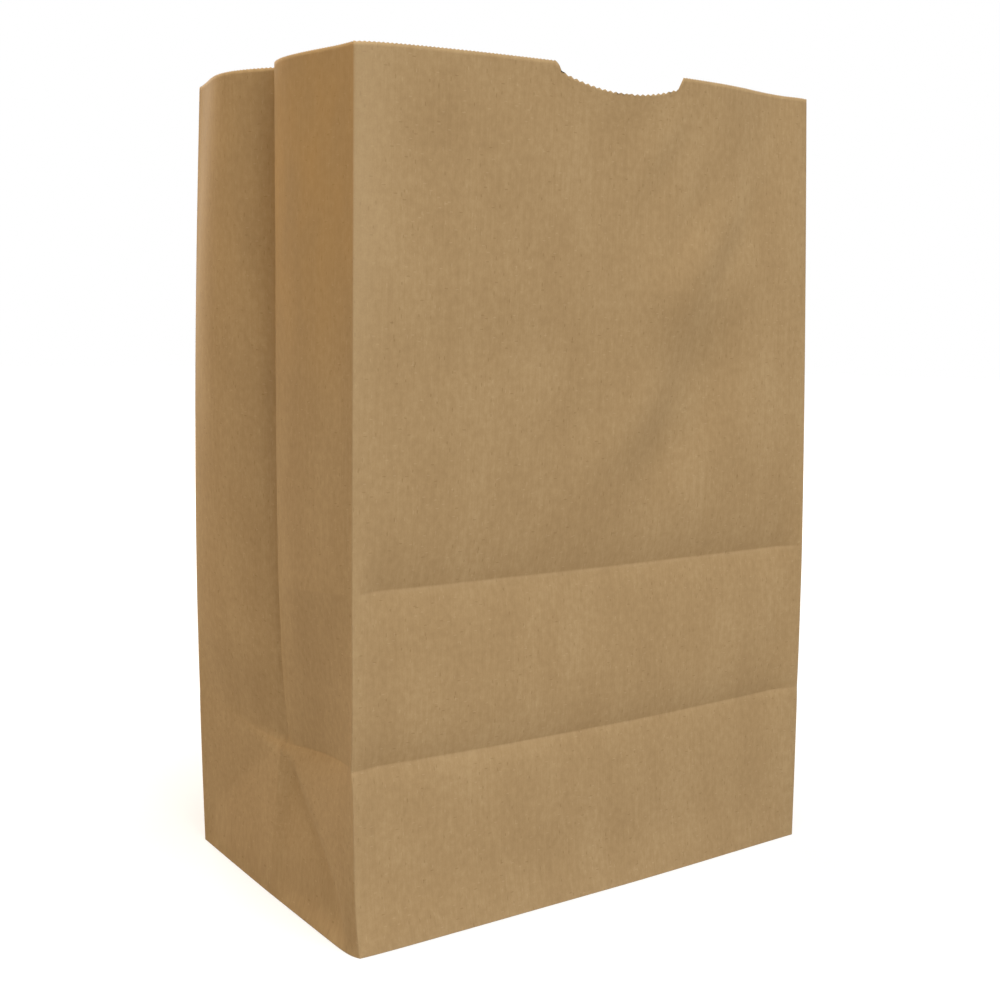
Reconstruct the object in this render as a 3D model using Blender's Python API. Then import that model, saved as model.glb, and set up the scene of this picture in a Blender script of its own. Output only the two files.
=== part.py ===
"""Brown kraft paper bag with a square bottom, standing open and empty.

One sheet of paper is folded and glued into the bag: a face with a thumb notch and a
saw-cut rim, a back with the lap seam of the tube, a gusset on each side with its centre
crease, and a flat bottom of folded flaps. Two creases run round the face and the back,
where the bottom was folded up for packing and where the flat bag was folded again.

The origin is the middle of the bottom, +Z is up, and the face looks along -Y.
All sizes are in metres.
"""
import math

import bmesh
import bpy
from mathutils import Vector

# Driving dimensions of the sheet and its folds
FACE_WIDTH = 0.300
GUSSET_DEPTH = 0.180
HEIGHT = 0.432
PAPER = 0.00013
SEAM_LAP = 0.025
SEAM_FROM_EDGE = 0.110
BOTTOM_LAP = 0.025
FLAP_SETBACK = 0.0006

# Thumb notch in the rim of the face, and the saw cut all round it
NOTCH_WIDTH = 0.0838
NOTCH_DEPTH = 0.0118
NOTCH_SHOULDER_DROP = 0.0056
NOTCH_SHOULDER_RUN = 0.003
NOTCH_FROM_MIDDLE = -0.0017
NOTCH_LOWEST_FROM_ITS_MIDDLE = 0.0024
TOOTH_PITCH = 0.0021
TOOTH_DEPTH = 0.0005
NOTCH_TOOTH_PITCH = 0.0036
NOTCH_TOOTH_DEPTH = 0.0008

# How far the open bag stands out from a straight box
FACE_BOW_AT_CREASES = 0.0032
FACE_BOW_AT_RIM = 0.017
BACK_BOW_AT_RIM = 0.009
RIGHT_EDGE_LEAN = 0.0088
RIGHT_EDGE_SET_BACK = 0.002
LEFT_BACK_SWELL = 0.004
NEAR_CORNER_TUCK = 0.0034
FOOT_FLARE = 0.0033
FLARE_REACH = 0.024
CREASE_PINCH = 0.002
CREASE_REACH = 0.012
APEX_INSET = 0.0062
RIM_INSET = 0.0023
FRONT_GUSSET_BULGE = 0.008
REAR_GUSSET_BULGE = 0.012

# Soft hollow that runs down the right part of the face from the rim and dies away at
# its foot, as places across and up the face
DENT_TOP = (0.108, HEIGHT)
DENT_FOOT = (0.040, 0.235)
DENT_DEPTH_AT_RIM = 0.0045
DENT_HALF_WIDTH = 0.022

# Cells of the surface
HALF_GUSSET_CELLS = 6
FACE_CELLS = 16
UPPER_ROW = 0.022
SEAM_STEP = 0.0003

FIRST_CREASE = GUSSET_DEPTH / 2
SECOND_CREASE = GUSSET_DEPTH
LAYER_BELOW = 2 * PAPER
RIM_ROW = HEIGHT - NOTCH_DEPTH - 0.008
FLAP_LENGTH = (GUSSET_DEPTH + BOTTOM_LAP) / 2
KRAFT = (0.376, 0.250, 0.122, 1.0)


def clear_scene():
    for thing in list(bpy.data.objects):
        bpy.data.objects.remove(thing, do_unlink=True)


def paper_material():
    material = bpy.data.materials.new("kraft_paper")
    material.use_nodes = True
    shader = material.node_tree.nodes["Principled BSDF"]
    shader.inputs["Base Color"].default_value = KRAFT
    shader.inputs["Roughness"].default_value = 0.85
    shader.inputs["Metallic"].default_value = 0.0
    material.diffuse_color = KRAFT
    return material


def hump(part):
    """A smooth rise from 0 at both ends of a side to 1 at its middle."""
    return 4.0 * part * (1.0 - part)


def pinch(z):
    """How far the two creases draw the sheet in at a height."""
    drawn = 0.0
    for crease in (FIRST_CREASE, SECOND_CREASE):
        drawn += CREASE_PINCH * math.exp(-abs(z - crease) / CREASE_REACH)
    return drawn


def flare(part, z):
    """How far the foot of the face kicks out, most at its left end."""
    return FOOT_FLARE * (1.0 - part * part) * math.exp(-((z / FLARE_REACH) ** 2))


def face_bow(part, z):
    """How far the face stands out from the straight line between its two edges."""
    rise = max(z - SECOND_CREASE, 0.0) / (HEIGHT - SECOND_CREASE)
    bow = FACE_BOW_AT_CREASES * min(z / FIRST_CREASE, 1.0)
    bow += (FACE_BOW_AT_RIM - FACE_BOW_AT_CREASES) * rise
    return bow * hump(part) + flare(part, z) - flare(0.0, z) * (1.0 - part)


def corner(right, back, z):
    """One of the four upright edges at a height."""
    up = z / HEIGHT
    x = FACE_WIDTH / 2
    y = GUSSET_DEPTH / 2 - pinch(z)
    if right:
        x -= RIGHT_EDGE_LEAN * up**3
        y -= 0.0 if back else RIGHT_EDGE_SET_BACK
    elif back:
        x += LEFT_BACK_SWELL * math.sin(math.pi * min(up, 1.0))
    else:
        x -= NEAR_CORNER_TUCK * math.exp(-z / (2 * FIRST_CREASE / 3))
        y += flare(0.0, z)
    return Vector((x if right else -x, y if back else -y, z))


def dent(x, z):
    """Depth of the soft dent in the face at a place across and up it."""
    top, foot = Vector(DENT_TOP), Vector(DENT_FOOT)
    run = foot - top
    along = (Vector((x, z)) - top).dot(run) / run.length_squared
    held = min(max(along, 0.0), 1.0)
    off = (Vector((x, z)) - (top + run * held)).length / DENT_HALF_WIDTH
    return DENT_DEPTH_AT_RIM * (1.0 - held) * math.exp(-off * off)


def gusset_inset(part, z, bulge):
    """How far a gusset lies inside its two edges; part is 1 at the centre crease."""
    if z <= FIRST_CREASE:
        return APEX_INSET * min(part, z / FIRST_CREASE)
    up = (z - FIRST_CREASE) / (HEIGHT - FIRST_CREASE)
    crease = APEX_INSET + (RIM_INSET - APEX_INSET) * up
    return crease * part - bulge * up * hump(part)


def sheet_point(side, part, z):
    """Place on the outside of the sheet, part way along a side seen anticlockwise."""
    if side == "face":
        point = corner(False, False, z).lerp(corner(True, False, z), part)
        point.y += dent(point.x, z) - face_bow(part, z)
    elif side == "back":
        point = corner(True, True, z).lerp(corner(False, True, z), part)
        point.y += BACK_BOW_AT_RIM * z / HEIGHT * hump(part)
    else:
        right = side == "right"
        in_front = (part < 0.5) == right
        bulge = FRONT_GUSSET_BULGE if in_front else REAR_GUSSET_BULGE
        inset = gusset_inset(1.0 - abs(2.0 * part - 1.0), z, bulge)
        point = corner(right, not right, z).lerp(corner(right, right, z), part)
        point.x += -inset if right else inset
    return point


def notch_drop(across):
    """How far the rim is cut down, at a distance across from the face's middle."""
    half = NOTCH_WIDTH / 2
    off = abs(across - NOTCH_FROM_MIDDLE)
    if off >= half:
        return 0.0
    if off > half - NOTCH_SHOULDER_RUN:
        return NOTCH_SHOULDER_DROP * (half - off) / NOTCH_SHOULDER_RUN
    from_lowest = across - NOTCH_FROM_MIDDLE - NOTCH_LOWEST_FROM_ITS_MIDDLE
    arc = 1.0 - (from_lowest / (half - NOTCH_SHOULDER_RUN)) ** 2
    return NOTCH_SHOULDER_DROP + (NOTCH_DEPTH - NOTCH_SHOULDER_DROP) * arc


def column_parts(side):
    """Where the columns of the surface stand along a side, from 0 up to but not 1."""
    if side in ("left", "right"):
        return [i / (2 * HALF_GUSSET_CELLS) for i in range(2 * HALF_GUSSET_CELLS)]
    return [i / FACE_CELLS for i in range(FACE_CELLS)]


def back_columns():
    """Columns of the back: its even ones, and a pair at each edge of the lap seam.

    Each is (part, layer): how far along the back, and how many papers deep the
    surface lies there.
    """
    lap_end = SEAM_FROM_EDGE / FACE_WIDTH
    lap_start = lap_end + SEAM_LAP / FACE_WIDTH
    step = SEAM_STEP / FACE_WIDTH
    pairs = [(lap_end - step, 1), (lap_end, 0), (lap_start - step, 0), (lap_start, 0)]
    even = []
    for part in column_parts("back"):
        clear = min(abs(part - other) for other, _ in pairs) > 0.25 / FACE_CELLS
        if clear and not lap_end < part < lap_start:
            even.append((part, 1 if part < lap_end else 0))
    return sorted(even + pairs)


def row_heights():
    """Heights of the full rows, from the bottom fold to just under the notch."""
    lower = [FIRST_CREASE * j / HALF_GUSSET_CELLS for j in range(HALF_GUSSET_CELLS + 1)]
    middle = [FIRST_CREASE + height for height in lower[1:]]
    upper_span = RIM_ROW - SECOND_CREASE
    count = max(1, round(upper_span / UPPER_ROW))
    upper = [SECOND_CREASE + upper_span * j / count for j in range(1, count + 1)]
    return [max(z, LAYER_BELOW) for z in lower + middle + upper]


def bag_columns():
    """Every column round the bag as (side, part, layer), anticlockwise from the face."""
    columns = [("face", part, 0) for part in column_parts("face")]
    columns += [("right", part, 0) for part in column_parts("right")]
    columns += [("back", part, layer) for part, layer in back_columns()]
    columns += [("left", part, 0) for part in column_parts("left")]
    return columns


def column_point(column, z):
    side, part, layer = column
    point = sheet_point(side, part, z)
    point.y -= layer * PAPER
    return point


def diagonal_way(columns, index, row):
    """Which way a cell of the lower section is split, so the bottom folds are edges."""
    side, part, _ = columns[index]
    if side not in ("left", "right") or row >= HALF_GUSSET_CELLS:
        return 0
    cell = round(part * 2 * HALF_GUSSET_CELLS)
    if cell == row:
        return 1
    if 2 * HALF_GUSSET_CELLS - 1 - cell == row:
        return -1
    return 0


def rim_places(here, there):
    """Points of the saw-cut rim over one cell, from its first column to the next one."""
    side, start, layer = here
    same_side = there[0] == side
    end = there[1] if same_side else 1.0
    span = (sheet_point(side, start, HEIGHT) - sheet_point(side, end, HEIGHT)).length
    middle = ((start + end) / 2 - 0.5) * FACE_WIDTH
    in_notch = side == "face" and notch_drop(middle) > 0.0
    pitch = NOTCH_TOOTH_PITCH if in_notch else TOOTH_PITCH
    tooth = NOTCH_TOOTH_DEPTH if in_notch else TOOTH_DEPTH
    points = 2 * max(1, round(span / pitch))
    rim = []
    for k in range(points + 1):
        part = start + (end - start) * k / points
        z = HEIGHT if k % 2 else HEIGHT - tooth
        if side == "face":
            z -= notch_drop((part - 0.5) * FACE_WIDTH)
        depth = there[2] if k == points and same_side else layer
        rim.append(column_point((side, part, depth), z))
    return rim


def add_rim(bm, columns, top_row):
    """Band from the last full row up to the saw cut, fanned out over each cell."""
    count = len(columns)
    first = bm.verts.new(rim_places(columns[0], columns[1])[0])
    last = first
    for index in range(count):
        after = (index + 1) % count
        places = rim_places(columns[index], columns[after])
        verts = [last] + [bm.verts.new(place) for place in places[1:-1]]
        last = first if after == 0 else bm.verts.new(places[-1])
        verts.append(last)
        low, high = top_row[index], top_row[after]
        middle = len(verts) // 2
        for k in range(len(verts) - 1):
            foot = low if k < middle else high
            bm.faces.new((foot, verts[k + 1], verts[k]))
        bm.faces.new((low, high, verts[middle]))


def sheet_mesh():
    """Outer surface of the folded sheet, with its bottom, open at the rim."""
    bm = bmesh.new()
    columns = bag_columns()
    count = len(columns)
    rows = [[bm.verts.new(column_point(column, z)) for column in columns] for z in row_heights()]
    for row in range(len(rows) - 1):
        low, high = rows[row], rows[row + 1]
        for index in range(count):
            after = (index + 1) % count
            a, b, c, d = low[index], low[after], high[after], high[index]
            way = diagonal_way(columns, index, row)
            if way == 0:
                bm.faces.new((a, b, c, d))
            elif way == 1:
                bm.faces.new((a, b, c))
                bm.faces.new((a, c, d))
            else:
                bm.faces.new((a, b, d))
                bm.faces.new((b, c, d))
    add_rim(bm, columns, rows[-1])
    bm.faces.new(list(reversed(rows[0])))
    mesh = bpy.data.meshes.new("paper_bag")
    bm.to_mesh(mesh)
    bm.free()
    return mesh


def lap_weights(thing):
    """Paper is two layers thick along the lap seam and one layer elsewhere."""
    group = thing.vertex_groups.new(name="layers")
    lap_end = FACE_WIDTH / 2 - SEAM_FROM_EDGE
    edge = SEAM_STEP / 2
    for vert in thing.data.vertices:
        z = vert.co.z
        part = (corner(True, True, z).x - vert.co.x) / (corner(True, True, z) - corner(False, True, z)).x
        across = (0.5 - part) * FACE_WIDTH
        on_back = vert.co.y > GUSSET_DEPTH / 4
        in_lap = lap_end - SEAM_LAP + edge < across < lap_end + edge
        doubled = on_back and in_lap and z > LAYER_BELOW * 2
        group.add([vert.index], 1.0 if doubled else 0.5, "REPLACE")


def plate(name, outline, low, high):
    """Flat plate of paper with the given outline, between two heights."""
    bm = bmesh.new()
    verts = [bm.verts.new((x, y, low)) for x, y in outline]
    base = bm.faces.new(verts)
    raised = bmesh.ops.extrude_face_region(bm, geom=[base])["geom"]
    lifted = [item for item in raised if isinstance(item, bmesh.types.BMVert)]
    bmesh.ops.translate(bm, vec=(0, 0, high - low), verts=lifted)
    bmesh.ops.recalc_face_normals(bm, faces=bm.faces)
    mesh = bpy.data.meshes.new(name)
    bm.to_mesh(mesh)
    bm.free()
    thing = bpy.data.objects.new(name, mesh)
    bpy.context.scene.collection.objects.link(thing)
    thing.hide_render = True
    thing.display_type = "WIRE"
    return thing


def long_flap_outline(side):
    """Flap folded in from the face or the back, with mitred ends."""
    sign = -1.0 if side == "face" else 1.0
    edge = []
    for part in column_parts(side) + [1.0]:
        point = sheet_point(side, part, LAYER_BELOW)
        edge.append((point.x, point.y - sign * FLAP_SETBACK))
    left, right = min(edge), max(edge)
    edge[edge.index(left)] = (left[0] + FLAP_SETBACK, left[1])
    edge[edge.index(right)] = (right[0] - FLAP_SETBACK, right[1])
    tip = sign * (GUSSET_DEPTH / 2 - FLAP_LENGTH)
    run = abs(tip - left[1])
    tips = [(left[0] + FLAP_SETBACK + run, tip), (right[0] - FLAP_SETBACK - run, tip)]
    if edge[0][0] < edge[-1][0]:
        tips.reverse()
    return edge + tips


def end_flap_outline(sign):
    """Flap folded in from a gusset, seen from inside as a rectangle across the bag."""
    edge = FACE_WIDTH / 2 - NEAR_CORNER_TUCK - 2 * FLAP_SETBACK
    inner = FACE_WIDTH / 2 - FLAP_LENGTH
    half = GUSSET_DEPTH / 2 - RIGHT_EDGE_SET_BACK - 2 * FLAP_SETBACK
    return [(sign * edge, -half), (sign * edge, half), (sign * inner, half), (sign * inner, -half)]


def join(thing, other):
    union = thing.modifiers.new(other.name, "BOOLEAN")
    union.operation = "UNION"
    union.solver = "EXACT"
    union.object = other


def build_bag():
    bag = bpy.data.objects.new("paper_bag", sheet_mesh())
    bpy.context.scene.collection.objects.link(bag)
    bag.data.materials.append(paper_material())
    lap_weights(bag)
    wall = bag.modifiers.new("wall", "SOLIDIFY")
    wall.thickness = 2 * PAPER
    wall.offset = -1.0
    wall.use_even_offset = True
    wall.use_rim = True
    wall.vertex_group = "layers"
    inside = LAYER_BELOW + PAPER
    sunk = PAPER / 2
    join(bag, plate("face_flap", long_flap_outline("face"), PAPER, LAYER_BELOW + sunk))
    join(bag, plate("back_flap", long_flap_outline("back"), 0.0, LAYER_BELOW + sunk))
    join(bag, plate("left_end_flap", end_flap_outline(-1.0), inside - sunk, inside + PAPER))
    join(bag, plate("right_end_flap", end_flap_outline(1.0), inside - sunk, inside + PAPER))
    return bag


clear_scene()
build_bag()
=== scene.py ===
"""Brown kraft paper bag: the looks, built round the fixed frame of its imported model.

Laid out as an add-on and run as a script. One operator folds the sheet, with its rim
and its bottom flaps, and one sets the studio. All sizes are in metres.
"""
import math
from functools import partial
from typing import NamedTuple

import bmesh
import bpy
import numpy as np
from bpy.props import FloatProperty, FloatVectorProperty, PointerProperty
from mathutils import Matrix, Vector, noise


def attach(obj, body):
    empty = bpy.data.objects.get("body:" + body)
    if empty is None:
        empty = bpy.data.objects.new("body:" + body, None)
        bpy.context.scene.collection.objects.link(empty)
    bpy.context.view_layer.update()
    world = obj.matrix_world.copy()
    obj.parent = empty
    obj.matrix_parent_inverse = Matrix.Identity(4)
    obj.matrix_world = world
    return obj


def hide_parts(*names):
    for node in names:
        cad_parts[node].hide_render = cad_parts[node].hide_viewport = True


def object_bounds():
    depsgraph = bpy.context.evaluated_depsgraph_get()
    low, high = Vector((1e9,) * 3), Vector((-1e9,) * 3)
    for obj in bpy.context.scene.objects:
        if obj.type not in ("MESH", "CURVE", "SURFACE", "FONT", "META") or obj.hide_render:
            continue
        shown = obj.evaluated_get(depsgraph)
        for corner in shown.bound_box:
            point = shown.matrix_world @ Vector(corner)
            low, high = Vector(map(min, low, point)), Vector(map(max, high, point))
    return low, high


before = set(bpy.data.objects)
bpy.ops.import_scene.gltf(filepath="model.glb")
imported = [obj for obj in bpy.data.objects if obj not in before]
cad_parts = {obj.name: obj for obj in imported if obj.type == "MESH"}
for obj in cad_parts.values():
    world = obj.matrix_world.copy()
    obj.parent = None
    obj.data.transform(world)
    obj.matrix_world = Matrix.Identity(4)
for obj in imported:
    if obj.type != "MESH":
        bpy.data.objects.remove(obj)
CAD_LOW, CAD_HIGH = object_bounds()

bl_info = {
    "name": "Brown Paper Bag",
    "version": (1, 0, 0),
    "blender": (4, 5, 0),
    "location": "View3D > Sidebar > Paper Bag",
    "description": "Folds a square-bottomed kraft paper bag and sets it in a pale studio",
    "category": "Add Mesh",
}

BAG_NODE = "paper_bag"
BODY = "root"
MM = 0.001
SIDES = ("face", "right", "back", "left")

# How far the first and the second crease stand above level: at the face's left end,
# in a hump at its middle, and at its right end
CREASE_LIFTS = ((1.0 * MM, -3.0 * MM), (-2.1 * MM, -0.8 * MM), (0.6 * MM, -4.5 * MM))

# The same two lifts at a gusset's centre crease, and how high its slanted folds end at the edges
GUSSET_LIFTS = (-10.0 * MM, -11.0 * MM)
SLANT_FOOT = 15.0 * MM

# How a crease fades: over which length upward and downward, and the share of it that
# springs back straight below
EDGE_FADE = (14 * MM, 5 * MM)
FIRST_FADE = (14 * MM, 60 * MM, 0.08)
SECOND_FADE = (18 * MM, 55 * MM, 0.28)
SPRING_BACK = 6 * MM

# Heights over which the face's kick and the crushed corner at the table fade
KICK_FADE = 15 * MM
TUCK_FADE = 60 * MM

# Heights over which the gusset's foot and the dent at its bottom fold's apex fade upward
FOOT_FADE = 40 * MM
APEX_FADE = 45 * MM

# Lengths over which the gusset's valley fades into its front and its rear half
VALLEY_REACH = (6 * MM, 18 * MM)

# Share of the left gusset's rear bulge that is there from the first crease on
LEFT_LOW_BULGE = 0.32

# Width of the steps at the seam's edges, and how far the other columns keep off them
SEAM_STEP = 0.25 * MM
SEAM_CLEAR = 1.0 * MM

# How far the saw cut's columns keep off the sheet's, the last row off the rim, and how
# near to the rim a vertex has to be to be cut
TOOTH_CLEAR = 0.12 * MM
RIM_CLEAR = 1.9 * MM
AT_RIM = 0.1 * MM

# Inputs of the rim's cut that are the settings of the same names
RIM_INPUTS = (
    "Band", "Tooth Pitch", "Tooth Depth", "Notch Tooth Pitch", "Notch Tooth Depth", "Notch Width",
    "Notch Depth", "Shoulder Drop", "Shoulder Run", "Notch Offset", "Notch Lowest",
)

# Sizes of the bottom's rings against its outline, how far its flaps keep off its edge, and
# how far the gussets' ends keep off the face and the back
BOTTOM_RINGS = (0.985, 0.94, 0.86, 0.74, 0.58, 0.40, 0.22)
FLAP_GAP = 0.6 * MM
END_GAP = 3 * MM

# Place across the face that the other sides get, far from the notch
OFF_FACE = 1.0

# Seeds of the soft random swells and of the patchy wear
FACE_SEED, CRUMPLE_SEED, BACK_SEED = 3.7, 8.3, 11.3
LEFT_SEED, RIGHT_SEED, WEAR_SEED = 16.1, 21.7, 5.1

# Soft dents of the face: middle across it and up it, the way in which the sheet falls away
# there as degrees turned up from its right, how steeply, and its reach along and across that way
FACE_DENTS = (
    (51 * MM, 301 * MM, -55.0, 0.25, 36 * MM, 33 * MM),
    (29 * MM, 254 * MM, -42.0, 0.29, 27 * MM, 26 * MM),
    (76 * MM, 347 * MM, -35.0, 0.17, 12 * MM, 30 * MM),
    (25 * MM, 390 * MM, -35.0, 0.15, 11 * MM, 27 * MM),
    (49 * MM, 352 * MM, 150.0, 0.12, 11 * MM, 32 * MM),
    (0 * MM, 252 * MM, 125.0, 0.14, 19 * MM, 27 * MM),
    (-62 * MM, 306 * MM, -90.0, 0.04, 22 * MM, 60 * MM),
)

# Flecks: width and height of their cells in millimetres, and degrees turned
SHIVES = ((3.1, 11.0, 9.0), (10.0, 3.0, -27.0), (3.6, 8.0, 52.0))
FIBRES = ((2.4, 9.0, -14.0), (8.0, 2.6, 33.0))

# Soft boxes: name, setting of its power, degrees turned from -Y towards -X and raised,
# distance from the lit place, edge in metres, and tint
SOFT_BOXES = (
    ("top_soft_box", "top_power", 0.0, 75.0, 3.0, 1.4, "FFFFFF"),
    ("side_soft_box", "side_power", 117.0, 45.0, 3.0, 1.4, "FFEACC"),
    ("rear_soft_box", "rear_power", 125.0, 0.0, 0.85, 0.4, "FFEED6"),
    ("front_soft_box", "front_power", 0.0, 12.0, 3.0, 1.4, "FFFCF8"),
    ("lit_backdrop", "back_power", 180.0, 15.0, 3.0, 1.4, "FFF6E8"),
)


def srgb(code):
    """Linear colour of an sRGB hex code."""
    channels = [int(code[i : i + 2], 16) / 255 for i in (0, 2, 4)]
    linear = [c / 12.92 if c <= 0.04045 else ((c + 0.055) / 1.055) ** 2.4 for c in channels]
    return (*linear, 1.0)


def length(name, about, size):
    return FloatProperty(
        name=name, description=about, default=size, unit="LENGTH", subtype="DISTANCE"
    )


def power(name, about, watts):
    return FloatProperty(name=name, description=about, default=watts, unit="POWER")


def turned(name, about, degrees):
    angle = math.radians(degrees)
    return FloatProperty(
        name=name, description=about, default=angle, unit="ROTATION", subtype="ANGLE"
    )


def place_at(name, about, spot):
    return FloatVectorProperty(
        name=name, description=about, default=spot, size=3, unit="LENGTH", subtype="TRANSLATION"
    )


def colour(name, about, code):
    return FloatVectorProperty(
        name=name, description=about, default=srgb(code), size=4, subtype="COLOR", min=0.0, max=1.0
    )


class SheetSettings(bpy.types.PropertyGroup):
    """Sizes of the folded sheet."""

    face_width: length("Face width", "Width of the face and the back", 0.300)
    gusset_depth: length("Gusset depth", "Width of each folded side along the paper", 0.180)
    height: length("Height", "From the table to the teeth of the rim", CAD_HIGH.z)
    paper: length("Paper", "Thickness of one layer of the sheet", 0.13 * MM)
    seam_lap: length("Seam lap", "Width of the glued lap down the back", 0.025)
    seam_from_edge: length("Seam from edge", "From the back's right edge to the lap's edge", 0.110)
    bottom_lap: length("Bottom lap", "How far the two long bottom flaps overlap", 0.025)
    bow_at_table: length("Bow at the table", "How far the face's foot bows out", 0.0005)
    bow_at_creases: length("Bow at the creases", "How far the face bows out at its creases", 0.0010)
    bow_at_rim: length("Bow at the rim", "How far the face bows out at the rim", 0.0161)
    back_bow: length("Back bow", "How far the back stands out at the rim", 0.009)
    right_set_back: length("Right set back", "How far the face's right edge is set back", 0.002)
    right_lean: length("Right lean", "How far the right edges lean in at the rim", 0.0088)
    left_swell: length("Left swell", "How far the far left edge stands out half way up", 0.0040)
    corner_tuck: length("Corner tuck", "How far the near bottom corner is crushed in", 0.0034)
    curl_height: length("Curl height", "How far the face rolls out beside its left edge", 0.0024)
    curl_reach: length("Curl reach", "Width of the rolled paper beside that edge", 0.008)
    foot_flare: length("Foot flare", "How far the face kicks out at the table", 0.0033)
    edge_dent: length("Edge dent", "How far the first crease dents the near edge", 0.0021)
    first_pinch: length("First pinch", "Depth of the crease at half the gusset's depth", 0.0032)
    second_pinch: length("Second pinch", "Depth of the crease at the gusset's depth", 0.0060)
    apex_inset: length("Apex inset", "How far the bottom fold's apex is pushed in", 0.0075)
    crease_inset: length("Crease inset", "How far a gusset's crease lies in higher up", 0.0023)
    valley: length("Valley", "How far a gusset's centre crease dives in", 0.0045)
    lean: length("Lean", "How far a gusset's front half leans in between creases", 0.0085)
    slant_lip: length("Slant lip", "How far the bottom triangle tucks in at its fold", 0.0054)
    foot_bulge: length("Foot bulge", "How far a gusset's foot stands out", 0.0007)
    near_bulge: length("Near bulge", "How far a gusset's front half stands out", 0.0080)
    far_bulge: length("Far bulge", "How far a gusset's rear half stands out", 0.0122)
    fine_cell: length("Fine cell", "Width of the surface's cells beside a fold", 0.0005)
    face_cell: length("Face cell", "Width of the cells of the face away from folds", 0.0040)
    plain_cell: length("Plain cell", "Width of the cells elsewhere", 0.0034)


class RimSettings(bpy.types.PropertyGroup):
    """Sizes of the knife's cut along the rim."""

    tooth_pitch: length("Tooth pitch", "From one tooth of the saw cut to the next", 2.1 * MM)
    tooth_depth: length("Tooth depth", "From a tooth's tip to its root", 0.5 * MM)
    notch_tooth_pitch: length("Notch tooth pitch", "From tooth to tooth in the notch", 3.6 * MM)
    notch_tooth_depth: length("Notch tooth depth", "From tip to root in the notch", 0.9 * MM)
    notch_width: length("Notch width", "Width of the thumb notch at the rim", 0.0838)
    notch_depth: length("Notch depth", "Depth of the thumb notch at its middle", 0.0118)
    shoulder_drop: length("Shoulder drop", "How far the notch's slanted ends go down", 0.0056)
    shoulder_run: length("Shoulder run", "How far the notch's slanted ends go across", 0.0030)
    notch_lowest: length("Notch lowest", "From the notch's middle to its lowest place", 0.0024)
    notch_offset: length("Notch offset", "From the face's middle to the notch's middle", -0.0017)
    band: length("Rim band", "Height over which the rows give way to the notch", 0.030)


class PaperSettings(bpy.types.PropertyGroup):
    """Colours of the paper."""

    body: colour("Paper", "The sheet's middle tone", "AC9068")
    dark: colour("Dark cloud", "Where the pulp lies thick", "A38760")
    light: colour("Light cloud", "Where the pulp lies thin", "B59A72")
    shive: colour("Shive", "Flecks of dark bark fibre", "7C5F3C")
    fibre: colour("Fibre", "Flecks of pale fibre", "C9B08A")
    # The worn colour also paints the highlight beside the face's left edge
    worn: colour("Worn fold", "Fibres broken open along a fold", "C4A981")
    # The warm colour is an orange tint laid on the upper part of the left gusset
    warm: colour("Warm paper", "Paper gone orange on the upper gusset", "B58B4E")


class StudioSettings(bpy.types.PropertyGroup):
    """Camera and light."""

    camera_place: place_at("Camera", "Where the camera stands", (-0.46456, -0.67492, 0.31477))
    camera_yaw: turned("Yaw", "Turn of the view from +Y towards +X", 34.19)
    camera_pitch: turned("Pitch", "How far the view looks down", 5.48)
    camera_roll: turned("Roll", "Tilt of the view about its own axis", -0.77)
    lens: FloatProperty(name="Lens", description="Millimetres on a 36 mm sensor", default=51.47)
    shift: FloatProperty(name="Shift", description="Upright shift of the lens", default=-0.06)
    lit_place: place_at("Lit place", "Where the soft boxes look", (0.0, 0.0, 0.22))
    floor_radius: length("Floor radius", "Radius of the pale floor", 6.0)
    floor: colour("Floor", "Matt pale table", "B8B7B5")
    floor_white: FloatProperty(name="Wash", description="How white the table looks", default=0.58)
    wash_start: length("Wash start", "From here out the table goes over into white", 0.45)
    wash_end: length("Wash end", "From here out the table is plain white", 1.4)
    top_power: power("Top power", "Soft box high above the front", 80.0)
    side_power: power("Side power", "Warm soft box at the left", 45.0)
    rear_power: power("Rear power", "Near soft box at the rear left", 0.75)
    front_power: power("Front power", "Low soft box before the face", 43.0)
    back_power: power("Back power", "Lit backdrop behind the bag", 60.0)
    room_light: FloatProperty(name="Room", description="Light from all round", default=0.02)


class BagSettings(bpy.types.PropertyGroup):
    """Everything that a user can change."""

    sheet: PointerProperty(type=SheetSettings)
    rim: PointerProperty(type=RimSettings)
    paper: PointerProperty(type=PaperSettings)
    studio: PointerProperty(type=StudioSettings)


def bump(value, centre, width):
    return np.exp(-(((value - centre) / width) ** 2))


def ease(value):
    held = np.clip(value, 0.0, 1.0)
    return held * held * (3.0 - 2.0 * held)


def waves(x, y, seed, width, tall):
    """Soft random swell between about -1 and 1, with waves of the given width and height."""
    flat = zip(np.ravel(x) / width, np.ravel(y) / tall)
    found = [noise.noise(Vector((a, b, seed))) for a, b in flat]
    return 1.8 * np.reshape(found, np.shape(x))


def fade_ends(part, steep):
    """Share that goes to nothing at both ends of a side, close to them where it is steep."""
    return ease(part * steep) * ease((1.0 - part) * steep)


def between(first, last, part):
    """Place part way from one upright edge to the next."""
    return [start + (end - start) * part for start, end in zip(first, last)]


def graded(span, fine, coarse, growth=1.4):
    """Places from 0 to 1 along a span, closely set at both ends."""
    ramp = []
    step = fine
    while step < coarse:
        ramp.append(step)
        step *= growth
    middle = span - 2 * sum(ramp)
    count = max(1, round(middle / coarse))
    steps = ramp + [middle / count] * count + ramp[::-1]
    return np.concatenate([[0.0], np.cumsum(steps)]) / span


def crease_profile(z, crease, depth, above, below, lip=0.0):
    """How far a crease draws the sheet in, fading over one length above and one below it.

    The lip is the share of the depth that springs back straight below the crease.
    """
    drop = np.abs(z - crease)
    under = lip * np.exp(-drop / SPRING_BACK) + (1.0 - lip) * np.exp(-drop / below)
    return depth * np.where(z > crease, np.exp(-drop / above), under)


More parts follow.
